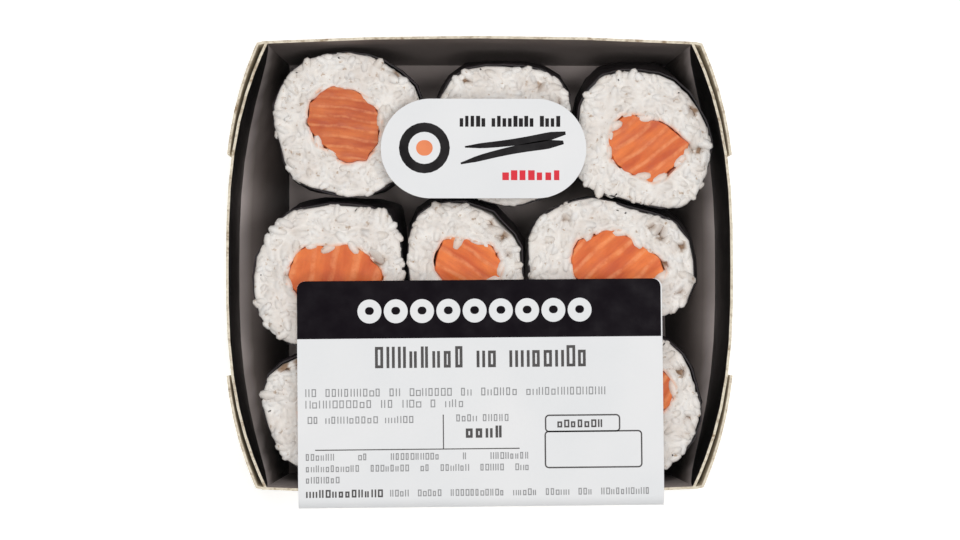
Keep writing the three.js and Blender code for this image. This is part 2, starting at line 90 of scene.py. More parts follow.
def loft(rings, ends="caps"):
    """A bmesh through rings of equally many points: ends is caps, open or bridge."""
    bm = bmesh.new()
    circle = bmesh.ops.create_circle(bm, cap_ends=False, segments=len(rings[0]), radius=1)
    ring = first = list(circle["verts"])
    for k, points in enumerate(rings):
        ring = next_ring(bm, ring) if k else ring
        for vertex, point in zip(ring, points):
            vertex.co = point
    if ends == "caps":
        bmesh.ops.contextual_create(bm, geom=first)
        bmesh.ops.contextual_create(bm, geom=ring)
    elif ends == "bridge":
        bmesh.ops.bridge_loops(bm, edges=ring_edges(first) + ring_edges(ring))
    bmesh.ops.recalc_face_normals(bm, faces=bm.faces)
    return bm


def soften(bm, sharpest):
    """Shades a bmesh smooth, except over edges that turn by more than an angle in degrees."""
    for face in bm.faces:
        face.smooth = True
    for edge in bm.edges:
        edge.smooth = edge.calc_face_angle(math.pi) < math.radians(sharpest)


def in_scene(name, data):
    """Makes an object of a mesh, a light or a camera, and puts it in the scene."""
    made = bpy.data.objects.new(name, data)
    bpy.context.scene.collection.objects.link(made)
    return made


def mesh_of(bm, name, *materials):
    """Turns a bmesh, which is freed, into a mesh object in the scene."""
    mesh = bpy.data.meshes.new(name)
    bm.to_mesh(mesh)
    bm.free()
    for material in materials:
        mesh.materials.append(material)
    return in_scene(name, mesh)


def piece(bm, name, slot, *materials, stands_for=(), sharpest=35):
    """Makes a finished piece of a bmesh. It rides on the tray's only body."""
    soften(bm, sharpest)
    made = mesh_of(bm, name, *materials)
    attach(made, "root")
    if stands_for:
        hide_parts(*stands_for)
    return made


print("helpers ready")

# %% [markdown]
# ## Building a finish from nodes
#
# A real surface is never one flat colour, so each finish mixes two or three tones by noise,
# and adds a bump at the size of the real grain. The patterns read Object coordinates, which
# are metres here and the same for all pieces, as every piece keeps its place in its mesh. A
# small class keeps a material and its nodes together.


# %% A finish and its nodes
class Finish:
    """A material with one Principled shader, and short ways to add the nodes that feed it."""

    def __init__(self, name, **sockets):
        self.material = bpy.data.materials.new(name)
        self.material.use_nodes = True
        self.tree = self.material.node_tree
        self.shader = self.tree.nodes["Principled BSDF"]
        for key, value in sockets.items():
            self.shader.inputs[key.replace("_", " ")].default_value = value

    def node(self, kind, inputs=None, output=0, **settings):
        """Adds a node and gives one of its outputs. An input is a value or such an output."""
        made = self.tree.nodes.new(kind)
        for key, value in settings.items():
            setattr(made, key, value)
        for key, value in (inputs or {}).items():
            if isinstance(value, bpy.types.NodeSocket):
                self.tree.links.new(value, made.inputs[key])
            else:
                made.inputs[key].default_value = value
        return made.outputs[output]

    def place(self, stretch=(1, 1, 1), turn=0.0):
        """Object coordinates, turned about Z in degrees and then stretched."""
        where = self.node("ShaderNodeTexCoord", output="Object")
        turned = {"Vector": where, "Rotation": (0, 0, math.radians(turn))}
        stretched = {0: self.node("ShaderNodeMapping", turned), 1: stretch}
        return self.node("ShaderNodeVectorMath", stretched, operation="MULTIPLY")

    def noise(self, size, detail, roughness=0.55, where=None):
        """Noise with features of about a size in metres."""
        inputs = {"Scale": 1 / size, "Detail": detail, "Roughness": roughness}
        inputs["Vector"] = self.place() if where is None else where
        return self.node("ShaderNodeTexNoise", inputs, "Fac")

    def calc(self, operation, first, second):
        return self.node("ShaderNodeMath", {0: first, 1: second}, operation=operation)

    def attribute(self, name):
        return self.node("ShaderNodeAttribute", output="Fac", attribute_name=name)

    def ramp(self, factor, *stops):
        """A colour ramp: each stop is a position and a linear colour."""
        colour = self.node("ShaderNodeValToRGB", {"Fac": factor})
        elements = colour.node.color_ramp.elements
        while len(elements) < len(stops):
            elements.new(0.5)
        for element, (position, shade) in zip(elements, stops):
            element.position = position
            element.color = (*shade, 1)
        return colour

    def mixed(self, factor, first, second, blend="MIX"):
        """A blend of two colours, each a node's output or a linear colour."""
        inputs = {0: factor, 6: first, 7: second}
        return self.node("ShaderNodeMix", inputs, 2, data_type="RGBA", blend_type=blend)

    def darkened(self, first, second):
        """Two colours multiplied."""
        return self.mixed(1.0, first, second, "MULTIPLY")

    def paint(self, colour):
        self.tree.links.new(colour, self.shader.inputs["Base Color"])

    def bump(self, height, depth):
        """Feeds a height into the shader's normal, with its depth in metres."""
        inputs = {"Height": height, "Distance": depth, "Strength": 1.0}
        normal = self.node("ShaderNodeBump", inputs, "Normal")
        self.tree.links.new(normal, self.shader.inputs["Normal"])

    def roughen(self, factor, low, high):
        """Lets the roughness wander between two values."""
        inputs = {"Value": factor, "From Min": 0.3, "From Max": 0.7, "To Min": low, "To Max": high}
        rough = self.node("ShaderNodeMapRange", inputs, "Result")
        self.tree.links.new(rough, self.shader.inputs["Roughness"])


print("finish helper ready")

# %% [markdown]
# ## The board's two faces
#
# The tray is folded from board that is coated black on the inside and left its natural cream
# on the outside. A cut edge shows the cream core, a little browner where it is bruised. The
# coating is satin and deep black. The warm grey of the floor, the end walls and the leaning
# panels is painted sheen, the soft lights' gloss on the satin painted into its colour; it is
# palest at the bowed crease and darkens towards a panel's foot as painted shade of the rolls.
# An attribute on the tray's mesh says how much of this painted sheen a place inside gets, and
# on the cream side how bruised a place is.

# %% Board finishes
BOARD_SHEEN_AND_BRUISE = "painted_sheen_and_bruise"


def coated_board():
    finish = Finish("board_coated_black", IOR=1.35, Specular_IOR_Level=0.35)
    cloud = finish.noise(9 * MM, 4)
    # The attribute paints sheen into the black coat: none on upright bands, warm grey on the floor
    # and end walls, pale at the bowed crease, dark as painted shade at a panel's foot
    grey = finish.ramp(
        finish.attribute(BOARD_SHEEN_AND_BRUISE), (0.0, (0.006, 0.0045, 0.005)), (0.4, (0.078, 0.060, 0.054)),
        (0.7, (0.21, 0.172, 0.158)), (1.0, (0.68, 0.585, 0.56)),
    )
    shade = finish.ramp(cloud, (0.35, (0.86, 0.85, 0.84)), (0.7, (1, 1, 1)))
    finish.paint(finish.darkened(grey, shade))
    finish.roughen(cloud, 0.38, 0.5)
    finish.bump(finish.noise(0.5 * MM, 2), 0.012 * MM)
    return finish.material


def bare_board():
    finish = Finish("board_bare_cream", IOR=1.4)
    fibre = finish.noise(0.6 * MM, 4, 0.4, finish.place((1, 1, 3)))
    bruise = finish.noise(1.7 * MM, 5, 0.7)
    cream = finish.ramp(fibre, (0.3, (0.64, 0.555, 0.43)), (0.7, (0.84, 0.765, 0.62)))
    brown = finish.ramp(bruise, (0.50, (1, 1, 1)), (0.68, (0.42, 0.33, 0.25)))
    # On the cream side the same attribute says only how bruised a place is
    bruised = finish.mixed(finish.attribute(BOARD_SHEEN_AND_BRUISE), (1, 1, 1, 1), brown)
    finish.paint(finish.darkened(cream, bruised))
    finish.roughen(fibre, 0.7, 0.9)
    finish.bump(fibre, 0.03 * MM)
    return finish.material


BOARD_COATED = coated_board()
BOARD_BARE = bare_board()
print("board finishes:", BOARD_COATED.name, BOARD_BARE.name)

# %% [markdown]
# ## The tray
#
# The tray's solid already has the true folds: leaning panels, bowed creases, upright bands
# and glued flaps at the corners. So its mesh is copied and merged, and only its faces are
# told apart. The black inside is each face that looks at a point in the middle of the tray
# with nothing in between. All others, the cut edges too, stay cream. Each face is then divided,
# so that the painted sheen can grow smoothly up the leaning panels, from painted shade at the
# foot to the bowed crease, whose height is read from the mesh. Inside such a panel every edge
# is shaded smooth.

# %% Copy the tray and sort its faces
def merged_copy(node):
    """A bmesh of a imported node's triangles, with the vertices that they share joined."""
    bm = bmesh.new()
    bm.from_mesh(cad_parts[node].data)
    bmesh.ops.remove_doubles(bm, verts=bm.verts, dist=0.001 * MM)
    return bm


RIM_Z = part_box("tray")[1].z
TRAY_EYE = Vector((0, 0, RIM_Z * 0.7))
LEVEL = 0.99  # how straight up a level face looks, at least
END_FACING = 0.9  # how straight to the front or back an end wall's face looks, at least
UPRIGHT = 0.03  # how far up or down an upright band's face looks, at most
SHEEN_AND_BRUISE = {  # how much painted sheen each panel inside gets, or how bruised a cream one is; a leaning panel's grows, so it isn't here
    "rim": 1.0, "outside": 0.08, "floor": 0.9, "back": 0.75, "front": 1.0, "band": 0.0,
}
PANELS = [*SHEEN_AND_BRUISE, "leaning"]
LEANING = PANELS.index("leaning")
FOOT_PAINTED_SHEEN, CREASE_PAINTED_SHEEN = 0.09, 1.0  # a leaning panel's painted sheen at its foot, where it is painted shade, and at its bowed crease
PAINTED_SHEEN_GROWTH = 1.7  # how steeply it grows between them
tray_mesh = merged_copy("tray")
tray_tree = BVHTree.FromBMesh(tray_mesh)


def inside_tray(face):
    """True if a face looks at the middle of the tray, with nothing in between."""
    way = TRAY_EYE - face.calc_center_median()
    start = face.calc_center_median() + face.normal * (0.01 * MM)
    ahead = tray_tree.ray_cast(start, (TRAY_EYE - start).normalized(), way.length)[0]
    return face.normal.dot(way) > 0 and ahead is None


for face in tray_mesh.faces:
    face.material_index = 0 if inside_tray(face) else 1
inside_faces = sum(face.material_index == 0 for face in tray_mesh.faces)


def panel_of(face):
    """Which panel of the tray a face belongs to."""
    if face.material_index:
        return "rim" if face.normal.z > LEVEL else "outside"
    if face.normal.z > LEVEL:
        return "floor"
    if abs(face.normal.y) > END_FACING:
        return "back" if face.calc_center_median().y > 0 else "front"
    return "band" if abs(face.normal.z) < UPRIGHT else "leaning"


tray_panel = tray_mesh.faces.layers.int.new("panel")
crease = set()
for face in tray_mesh.faces:
    panel = panel_of(face)
    face[tray_panel] = PANELS.index(panel)
    if panel == "band":
        crease |= {(v.co.y, v.co.z) for v in face.verts if v.co.z < RIM_Z - 0.1 * MM}
crease = sorted(crease)


def crease_height(y):
    """How high the bowed crease runs at a place from front to back."""
    for (y0, z0), (y1, z1) in zip(crease, crease[1:]):
        if y1 >= y and y1 > y0:
            return z0 + (z1 - z0) * min(max((y - y0) / (y1 - y0), 0), 1)
    return crease[-1][1]


bmesh.ops.subdivide_edges(tray_mesh, edges=tray_mesh.edges, cuts=3, use_grid_fill=True)
# Per corner: painted sheen inside, growing up a leaning panel from painted shade at its foot, and
# bruise on the cream side
tray_sheen_and_bruise = tray_mesh.loops.layers.float.new(BOARD_SHEEN_AND_BRUISE)
for face in tray_mesh.faces:
    for loop in face.loops:
        if face[tray_panel] == LEANING:
            climb = min(max(loop.vert.co.z / crease_height(loop.vert.co.y), 0), 1)
            loop[tray_sheen_and_bruise] = FOOT_PAINTED_SHEEN + (CREASE_PAINTED_SHEEN - FOOT_PAINTED_SHEEN) * climb**PAINTED_SHEEN_GROWTH
        else:
            loop[tray_sheen_and_bruise] = SHEEN_AND_BRUISE[PANELS[face[tray_panel]]]
tray_mesh.edges.index_update()
curved = [e.index for e in tray_mesh.edges if all(f[tray_panel] == LEANING for f in e.link_faces)]
tray = piece(
    tray_mesh, "tray_folded", "board", BOARD_COATED, BOARD_BARE, stands_for=["tray"], sharpest=25
)
for index in curved:
    tray.data.edges[index].use_edge_sharp = False
print("tray faces inside:", inside_faces, "of", len(tray.data.polygons))

# %% [markdown]
# ## Reading a roll from its solids
#
# Every roll leans and is pressed out of round by its neighbours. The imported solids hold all
# of that, so a roll's outline is read from them rather than drawn twice: a ray is cast at the
# seaweed from outside, at an angle and a height, and where it lands is the outline. The
# salmon stick is read in the same way.


# %% A roll's outlines
ROWS, COLUMNS = ("back", "middle", "front"), ("left", "middle", "right")
PLACES = [f"{row}_{column}" for row in ROWS for column in COLUMNS]
FAR = 60 * MM  # further out than any roll reaches from its middle
FISH_PROUD = 0.35 * MM  # how much higher than the rice the salmon's solid stands
TURN_HEIGHT = 5 * MM  # over which the seaweed turns in, up to its edge
PRESSED = 0.7 * MM  # how much a roll is pressed in by chance, at most
TURNS_IN = {  # of each roll: the middle and half width in degrees, and how far in, in mm
    "back_left": (42, 45, 0.8),
    "back_middle": (90, 95, 0.3),
    "back_right": (75, 95, 0.6),
    "middle_left": (90, 40, 0.4),
    "middle_middle": (45, 60, 1.0),
    "middle_right": (50, 35, 0.6),
    "front_left": (110, 50, 0.5),
    "front_middle": (90, 60, 0.4),
    "front_right": (10, 60, 0.7),
}
SWELLINGS = {"front_right": (15, 1.1)}  # of salmon: toward which side in degrees, and mm
FOOT_CLEAR, HEAD_CLEAR = 0.1 * MM, 0.6 * MM  # how far inside its ends a solid is read


def middle_of(node, height):
    """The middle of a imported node's vertices at a height."""
    vertices = [v.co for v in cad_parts[node].data.vertices]
    level = [v for v in vertices if abs(v.z - height) < 0.1 * MM]
    return sum(level, Vector()) / len(level)


class Outline:
    """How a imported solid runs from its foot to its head."""

    def __init__(self, node):
        self.tree = BVHTree.FromBMesh(merged_copy(node))
        self.low, self.high = (corner.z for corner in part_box(node))
        self.foot, self.head = middle_of(node, self.low), middle_of(node, self.high)

    def middle(self, z):
        return self.foot.lerp(self.head, (z - self.low) / (self.high - self.low))

    def point(self, angle, z, inset=0.0):
        """The outline's point in a direction, drawn in; past either end it carries on."""
        way = Vector((math.cos(angle), math.sin(angle), 0))
        inside = min(max(z, self.low + FOOT_CLEAR), self.high - HEAD_CLEAR)
        start = self.middle(inside) + way * FAR
        hit = self.tree.ray_cast(start, -way)[0]
        reach = (hit - self.middle(inside)).length - inset
        return self.middle(z) + way * reach

    def reach(self, angle, z):
        return (self.point(angle, z) - self.middle(z)).length

    def reaches(self, count=24):
        """How far its head reaches from the middle, all round."""
        return [self.reach(TAU * i / count, self.high) for i in range(count)]

    def ring(self, z, count, inset=0.0):
        return [self.point(TAU * i / count, z, inset) for i in range(count)]


class Roll(Outline):
    """A roll's seaweed, which turns in over the rice in places near its cut face."""

    def __init__(self, place, seed):
        super().__init__(f"nori_{place}")
        self.seed = seed
        self.turn = TURNS_IN[place]

    def turned_in(self, angle, z):
        """How far the seaweed is turned in, in a direction at a height."""
        climb = min(max((z - self.high) / TURN_HEIGHT + 1, 0), 1) ** 2
        middle, half, depth = self.turn
        off = abs((math.degrees(angle) - middle + 180) % 360 - 180) / half
        most = depth * MM * math.cos(min(off, 1) * math.pi / 2) ** 0.6
        wander = noise.noise(Vector((math.cos(angle), math.sin(angle), self.seed)) * 1.9)
        return (most + PRESSED * max(0, wander)) * climb

    def point(self, angle, z, inset=0.0):
        return super().point(angle, z, inset + self.turned_in(angle, z))


class Fish(Outline):
    """A stick of salmon, which swells on one side where a swelling is given for it."""

    def __init__(self, place):
        super().__init__(f"salmon_{place}")
        self.toward, self.swelling = SWELLINGS.get(place, (0, 0))

    def point(self, angle, z, inset=0.0):
        facing = max(0.0, math.cos(angle - math.radians(self.toward)))
        return super().point(angle, z, inset - self.swelling * MM * facing)

    def beside(self, point):
        """Toward which side of the fish a point lies, and how far outside its edge."""
        off = (point - self.middle(RICE_TOP)).xy
        toward = math.atan2(off.y, off.x)
        return toward, off.length - self.reach(toward, self.high - HEAD_CLEAR)


def one_a_roll(kind, make, step):
    """Makes a piece for each roll, with a seed that grows by a step from roll to roll."""
    for i, place in enumerate(PLACES):
        made = make(place, i * step)
    print(kind, "made:", len(PLACES), "with", len(made.data.polygons), "faces each")


SKINS = {place: Roll(place, 1.7 * i) for i, place in enumerate(PLACES)}
FISHES = {place: Fish(place) for place in PLACES}
RICE_TOP = FISHES["back_left"].high - FISH_PROUD
for place, skin in SKINS.items():
    nearest, furthest = min(skin.reaches()) / MM, max(skin.reaches()) / MM
    print(place, "reaches", round(nearest, 1), "to", round(furthest, 1), "mm")

# %% [markdown]
# ## Seaweed
#
# Nori is a thin sheet that goes from crisp to leathery as the rice wets it. On a roll it
# shrinks into fine upright crinkles, and it ends in an uneven edge just under the rice's
# bulge. A flat sheet with a bump would do for a far view, but the crinkles show against the
# white rice. So they are real: the skin is a loft of many rings, moved in and out by noise
# that is stretched upwards, and then given its thickness.

# %% Seaweed finish
NORI_THICK = 0.3 * MM
NORI_INSET = 0.1 * MM
NORI_LOOSE = 0.6  # the share of its turning in by which the seaweed stays off the rice
TURNED_EDGE = 0.3 * MM  # how far below the cut face it ends where it is turned well in
WELL_IN = 0.7 * MM
NORI_LEVELS, NORI_AROUND = 22, 144


def seaweed():
    finish = Finish("nori_moist", IOR=1.42)
    upright = finish.place((1, 1, 0.4))
    blotch = finish.noise(2.5 * MM, 5, 0.65, upright)
    finish.paint(
        finish.ramp(blotch, (0.35, (0.006, 0.0035, 0.0045)), (0.7, (0.022, 0.012, 0.015)))
    )
    finish.roughen(blotch, 0.46, 0.68)
    finish.bump(finish.noise(0.45 * MM, 4, 0.7, upright), 0.12 * MM)
    return finish.material


NORI = seaweed()
print("seaweed finish:", NORI.name)


# %% Crinkled seaweed skins
def crinkle(point, seed):
    """How far in or out the skin stands at a point: broad buckles and fine upright folds."""
    shift = Vector((seed, 0, 0))
    folds = noise.noise(Vector((point.x, point.y, point.z * 0.25)) / (1.5 * MM) + shift)
    buckles = noise.noise(Vector((point.x, point.y, point.z * 0.5)) / (4.5 * MM) + shift)
    return 0.09 * MM * folds + 0.1 * MM * buckles


def ragged(point, seed):
    """How much higher or lower the skin's edge ends there."""
    level = Vector((point.x, point.y, 0))
    return 0.35 * MM * noise.noise(level / (2.2 * MM) + Vector((0, seed, 0)))


def nori_skin(place, seed):
    skin = SKINS[place]
    rings = []
    for k in range(NORI_LEVELS + 1):
        share = k / NORI_LEVELS
        z = skin.low + (skin.high - skin.low) * share
        ring = skin.ring(z, NORI_AROUND, inset=NORI_INSET)
        for i, point in enumerate(ring):
            angle = TAU * i / NORI_AROUND
            way = (point - skin.middle(z)).normalized()
            point += way * NORI_LOOSE * skin.turned_in(angle, z)
            turned = min(1, skin.turned_in(angle, skin.high) / WELL_IN)
            lift = (RICE_TOP - TURNED_EDGE - skin.high) * turned
            point.z += (ragged(point, seed) + lift) * share**6  # little of it but at the edge
            point += way * crinkle(point, seed)
        rings.append(ring)
    bm = loft(rings, ends="open")
    inner = skin.middle(skin.low)
    if sum(face.normal.dot(face.calc_center_median() - inner) for face in bm.faces) < 0:
        bmesh.ops.reverse_faces(bm, faces=bm.faces)
    bmesh.ops.solidify(bm, geom=bm.faces, thickness=NORI_THICK)
    return piece(bm, f"nori_skin_{place}", "nori", NORI, stands_for=[f"nori_{place}"], sharpest=60)


one_a_roll("seaweed skins", nori_skin, 7.3)

# %% [markdown]
# ## Cooked rice
#
# Sushi rice is short-grained, plump and sticky. Its grains are milky: light enters them and
# comes out again a little further on, which softens every shadow between them. The shader's
# subsurface part does that. Each grain also carries a tone of its own, kept in an attribute.
# Two more attributes tint it: beside the fish the rice gets painted orange light, the glow
# that the salmon bounces onto it, and the hollows, where grains were dragged out by the knife,
# get painted brown shade.

# %% Rice finish
GRAIN_TONE, PAINTED_BOUNCE, HOLLOW_SHADE = "tone", "salmon_bounce", "painted_hollow_shade"


def cooked_rice():
    finish = Finish(
        "rice_cooked", IOR=1.36, Subsurface_Weight=0.25, Subsurface_Radius=(1.0, 0.95, 0.88),
        Subsurface_Scale=0.8 * MM,
    )
    cloud = finish.noise(1.6 * MM, 4)
    tone = finish.calc("MULTIPLY", finish.calc("ADD", finish.attribute(GRAIN_TONE), cloud), 0.5)
    white = finish.ramp(
        tone, (0.25, (0.75, 0.675, 0.605)), (0.5, (0.875, 0.825, 0.775)),
        (0.75, (0.91, 0.88, 0.85)),
    )
    # A noise paints small spots of shade, as of tiny pits between grains
    pit = finish.noise(1.1 * MM, 3, 0.6)
    pit_shade = finish.ramp(pit, (0.62, (1, 1, 1)), (0.72, (0.62, 0.50, 0.40)))
    patch = finish.noise(4.5 * MM, 2)
    patches = finish.ramp(patch, (0.35, (0.90, 0.875, 0.86)), (0.6, (1, 1, 1)))
    uneven = finish.darkened(finish.darkened(white, pit_shade), patches)
    # Painted light: the salmon's orange, bounced onto the rice beside it
    bounce_lit = finish.mixed(finish.attribute(PAINTED_BOUNCE), uneven, (0.88, 0.47, 0.30, 1))
    # Painted shade, brown, at the bottom of the knife's hollows
    finish.paint(finish.mixed(finish.attribute(HOLLOW_SHADE), bounce_lit, (0.30, 0.19, 0.12, 1)))
    finish.roughen(cloud, 0.36, 0.5)
    finish.bump(finish.noise(0.4 * MM, 3), 0.04 * MM)
    return finish.material


RICE = cooked_rice()
print("rice finish:", RICE.name)

# %% [markdown]
# ## Where the grains lie
#
# The knife leaves the grains of the cut face lying in it at all angles, more than half sunk.
# A particle system or Geometry Nodes could scatter them, but here their places follow rules,
# so they are drawn one by one. Those in the face keep a distance from each other. Beside the
# fish they lie along its edge, some of them over it. Others tip over the seaweed at the rim,
# which gives the roll its bumpy outline. A few hollows stay bare, where the knife has dragged
# grains out or the rice has come away from the fish.

# %% Grain sizes and places
GRAIN = {"length": 4.3 * MM, "width": 2.2 * MM, "height": 1.9 * MM}
GRAIN_APART = 1.5 * MM
GRAIN_SINK = 0.66 * MM  # a grain's middle lies this far below the cut face
RIM_APART = 1.6 * MM
TRIES = 3000  # how many places are drawn for the grains of a cut face
FACE_INSET = 1.4 * MM  # how far inside the rim their middles lie, at least
FISH_CLEAR = 0.75 * MM  # and how far outside the fish's edge
LAPPING = 0.2  # the share of them that may lie over that edge
LAPPED = 0.3 * MM  # how far in those may lie, and how far up grains near it lie
LAPPED_REACH = 0.9 * MM  # how near to the fish they lie further up
ALONG_REACH = 2.2 * MM  # how near to it they lie along its edge
RIM_INSET, RIM_BULGE = 1.1, 0.5  # of a grain at the rim, in mm, and how far a bulge moves it
ENDWISE_INSET = 0.95 * MM  # how much further in it lies if it points outwards
BARE = 0.1  # the share of a hollow from which no grain lies in it
FISH_GAP = 0.1 * MM
FISH_GAP_WIDE = 0.3 * MM  # added where the rice has come away from the fish
BOUNCE_REACH = 0.8 * MM
HOLLOW_WIDER, HOLLOW_DEPTH = 1.3, 0.6  # times the half widths and the depths below
HOLLOWS = {  # x, y, half width and depth of each, all in mm
    "back_left": [(-20.6, 28.8, 0.9, 1.2), (-33.1, 27.6, 0.7, 1.0), (-16.2, 37.2, 0.8, 1.2)],
    "back_middle": [(-2.4, 36.0, 0.9, 1.3), (12.1, 35.0, 1.0, 1.3), (15.2, 31.5, 0.8, 1.2)],
    "back_right": [
        (41.4, 30.2, 1.2, 1.8), (39.6, 23.4, 0.9, 1.6), (41.2, 22.9, 0.8, 1.6),
        (42.8, 22.5, 0.9, 1.6),
    ],
    "middle_left": [(-19.4, 1.0, 1.1, 1.8), (-20.6, 2.3, 0.8, 1.5), (-37.2, -2.2, 0.8, 1.5)],
    "middle_middle": [(4.6, 5.6, 0.9, 1.5), (5.8, 2.4, 0.8, 1.4), (2.2, 8.2, 0.7, 1.2)],
    "middle_right": [
        (35.2, 6.3, 1.3, 1.9), (33.6, 7.6, 0.9, 1.5), (35.6, 0.6, 1.1, 1.6), (16.7, 9.2, 0.7, 1.2),
        (39.3, 3.9, 0.9, 1.4), (38.6, -5.2, 0.7, 1.2),
    ],
    "front_left": [(-37.8, -19.8, 1.2, 1.7), (-35.2, -18.8, 0.8, 1.4), (-31.8, -18.4, 1.0, 1.4)],
    "front_middle": [(4.0, -17.0, 0.9, 1.3)],
    "front_right": [(38.9, -20.6, 1.0, 1.4), (40.6, -29.8, 0.8, 1.3)],
}


class Grain(NamedTuple):
    place: Vector
    heading: float
    pitch: float
    size: float
    tone: float


def hollow(place, point):
    """How much of a hollow is left at a point: its share, and how deep it is there."""
    share, deep = 0.0, 0.0
    for x, y, half, depth in HOLLOWS[place]:
        uneven = HOLLOW_WIDER * (1 + 0.9 * noise.noise(point / (0.9 * MM)))
        off = math.hypot(point.x - x * MM, point.y - y * MM) / (half * MM * uneven)
        here = max(0.0, 1 - off**2)
        share, deep = max(share, here), max(deep, here * depth * HOLLOW_DEPTH * MM)
    return share, deep


def salmon_bounce(place, point):
    """How much painted orange light, bounced off the fish, the rice gets at a point: 0 to 1."""
    uneven = 0.8 + 0.9 * noise.noise(point / (1.8 * MM))
    return min(1.0, max(0.0, 1 - FISHES[place].beside(point)[1] / BOUNCE_REACH) * uneven)


def fish_gap(angle, seed):
    """The gap between the fish and the rice in a direction: mostly none, wide in places."""
    wander = noise.noise(Vector((math.cos(angle) * 1.1, math.sin(angle) * 1.1, seed)))
    return FISH_GAP + FISH_GAP_WIDE * max(0, wander - 0.12) / 0.5


def face_grains(place, seed, rng):
    """Grains in the cut face: apart from each other, between the fish and the rim."""
    skin, fish = SKINS[place], FISHES[place]
    found = []
    for _ in range(TRIES):
        angle = rng.uniform(0, TAU)
        rim = skin.point(angle, RICE_TOP, FACE_INSET)
        point = skin.middle(RICE_TOP).lerp(rim, math.sqrt(rng.uniform(0, 1)))
        toward, beside = fish.beside(point)
        least = -LAPPED if rng.random() < LAPPING else FISH_CLEAR
        if beside < least + fish_gap(toward, seed) - FISH_GAP or hollow(place, point)[0] > BARE:
            continue
        if all((point - grain.place).xy.length > GRAIN_APART for grain in found):
            along = toward + math.pi / 2
            heading = along + rng.gauss(0, 0.35) if beside < ALONG_REACH else rng.uniform(0, TAU)
            point.z -= GRAIN_SINK + rng.uniform(-0.16, 0.24) * MM
            point.z += LAPPED * min(1, max(0, 1 - beside / LAPPED_REACH))
            shape = rng.gauss(0, 0.12), rng.uniform(0.7, 1.1), rng.random()
            found.append(Grain(point, heading, *shape))
    return found


def rim_grains(place, seed, rng):
    """Grains along the rim, along it or across it, as the roll bulges here and there."""
    skin = SKINS[place]
    reaches = skin.reaches()
    girth = sum(reaches) / len(reaches) * TAU
    count = int(girth / RIM_APART)
    found = []
    for i in range(count):
        angle = TAU * (i + rng.uniform(-0.3, 0.3)) / count
        bulge = noise.noise(Vector((math.cos(angle), math.sin(angle), seed)) * 1.3)
        inset = (RIM_INSET - RIM_BULGE * bulge + rng.uniform(-0.15, 0.15)) * MM
        heading = angle + rng.choice((rng.gauss(0, 0.4), math.pi / 2 + rng.gauss(0, 0.4)))
        endwise = abs(math.cos(heading - angle)) > 0.6
        point = skin.point(angle, RICE_TOP, inset + (ENDWISE_INSET if endwise else 0))
        point.z -= rng.uniform(0.7, 1.15) * MM
        if hollow(place, point)[0] <= BARE:
            shape = rng.uniform(0.0, 0.3), rng.uniform(0.7, 0.95), rng.random()
            found.append(Grain(point, heading, *shape))
    return found


LAID = {}
for seed, place in enumerate(PLACES):
    rng = random.Random(40 + seed)
    LAID[place] = face_grains(place, 3.1 * seed, rng) + rim_grains(place, 3.1 * seed, rng)
print("grains laid:", {place: len(grains) for place, grains in LAID.items()})

# %% [markdown]
# ## The bed of rice in a roll
#
# Below and between the grains, packed rice has run together into one lumpy mass. That bed is
# a closed ring round the salmon: up the inside of the seaweed, over a soft shoulder, across
# the cut face and down beside the fish. A voxel remesh could melt bed and grains together, but
# it takes many more faces than this: every point of the bed's cut face is lifted to a soft
# skirt round the nearest grain, so that each grain rises out of the mass without a hard edge.

# %% Beds of rice
BED_RINGS = 26
BED_AROUND = 168
BED_DOWN = 0.55 * MM  # how far below the cut face the bed lies between grains
SHOULDER = ((-1.2, 0.45), (-0.2, 0.35), (0.2, 0.3))  # above the seaweed's edge, inset, in mm
ROUNDING = ((-0.6, 0.3), (-0.35, 0.7), (-0.2, 1.3))  # above the cut face, inset, in mm
BED_FOOT = 0.45 * MM  # how far inside the seaweed it stands at its foot
BED_LIP = 1.4 * MM  # how far down beside the fish its uneven gap goes
SKIRT_REACH = 3 * MM
SKIRT_PEAK, SKIRT_FOOT = 1.12, 0.2  # in half heights of a grain
SKIRT_FALL = 2.2


def grain_finder(grains):
    """A tree that finds the grains near a place, whatever its height."""
    tree = KDTree(len(grains))
    for index, grain in enumerate(grains):
        tree.insert((grain.place.x, grain.place.y, 0), index)
    tree.balance()
    return tree


NEAREST = {place: grain_finder(grains) for place, grains in LAID.items()}


def paste_height(place, point):
    """How high the rice stands at a point: the highest skirt of the grains near it."""
    height = RICE_TOP - BED_DOWN
    for _, index, _ in NEAREST[place].find_range((point.x, point.y, 0), SKIRT_REACH):
        grain = LAID[place][index]
        off = (point - grain.place).xy
        along = off.x * math.cos(grain.heading) + off.y * math.sin(grain.heading)
        across = off.y * math.cos(grain.heading) - off.x * math.sin(grain.heading)
        far = (along / GRAIN["length"]) ** 2 + (across / GRAIN["width"]) ** 2
        skirt = SKIRT_PEAK * math.exp(-SKIRT_FALL * far / grain.size**2) - SKIRT_FOOT
        height = max(height, grain.place.z + skirt * GRAIN["height"] / 2 * grain.size)
    return height - hollow(place, point)[1]


def tint_layers(bm):
    """New layers for the three attributes of rice."""
    return [bm.verts.layers.float.new(name) for name in (GRAIN_TONE, PAINTED_BOUNCE, HOLLOW_SHADE)]


def tint(vertex, layers, place, tone, pink, brown):
    """Gives a vertex of rice a tone, and shares of the painted bounce light and the painted hollow
    shade at its place.
    """
    painted_hollow_shade = min(1, brown * hollow(place, vertex.co)[0])
    for layer, value in zip(layers, (tone, pink * salmon_bounce(place, vertex.co), painted_hollow_shade)):
        vertex[layer] = value


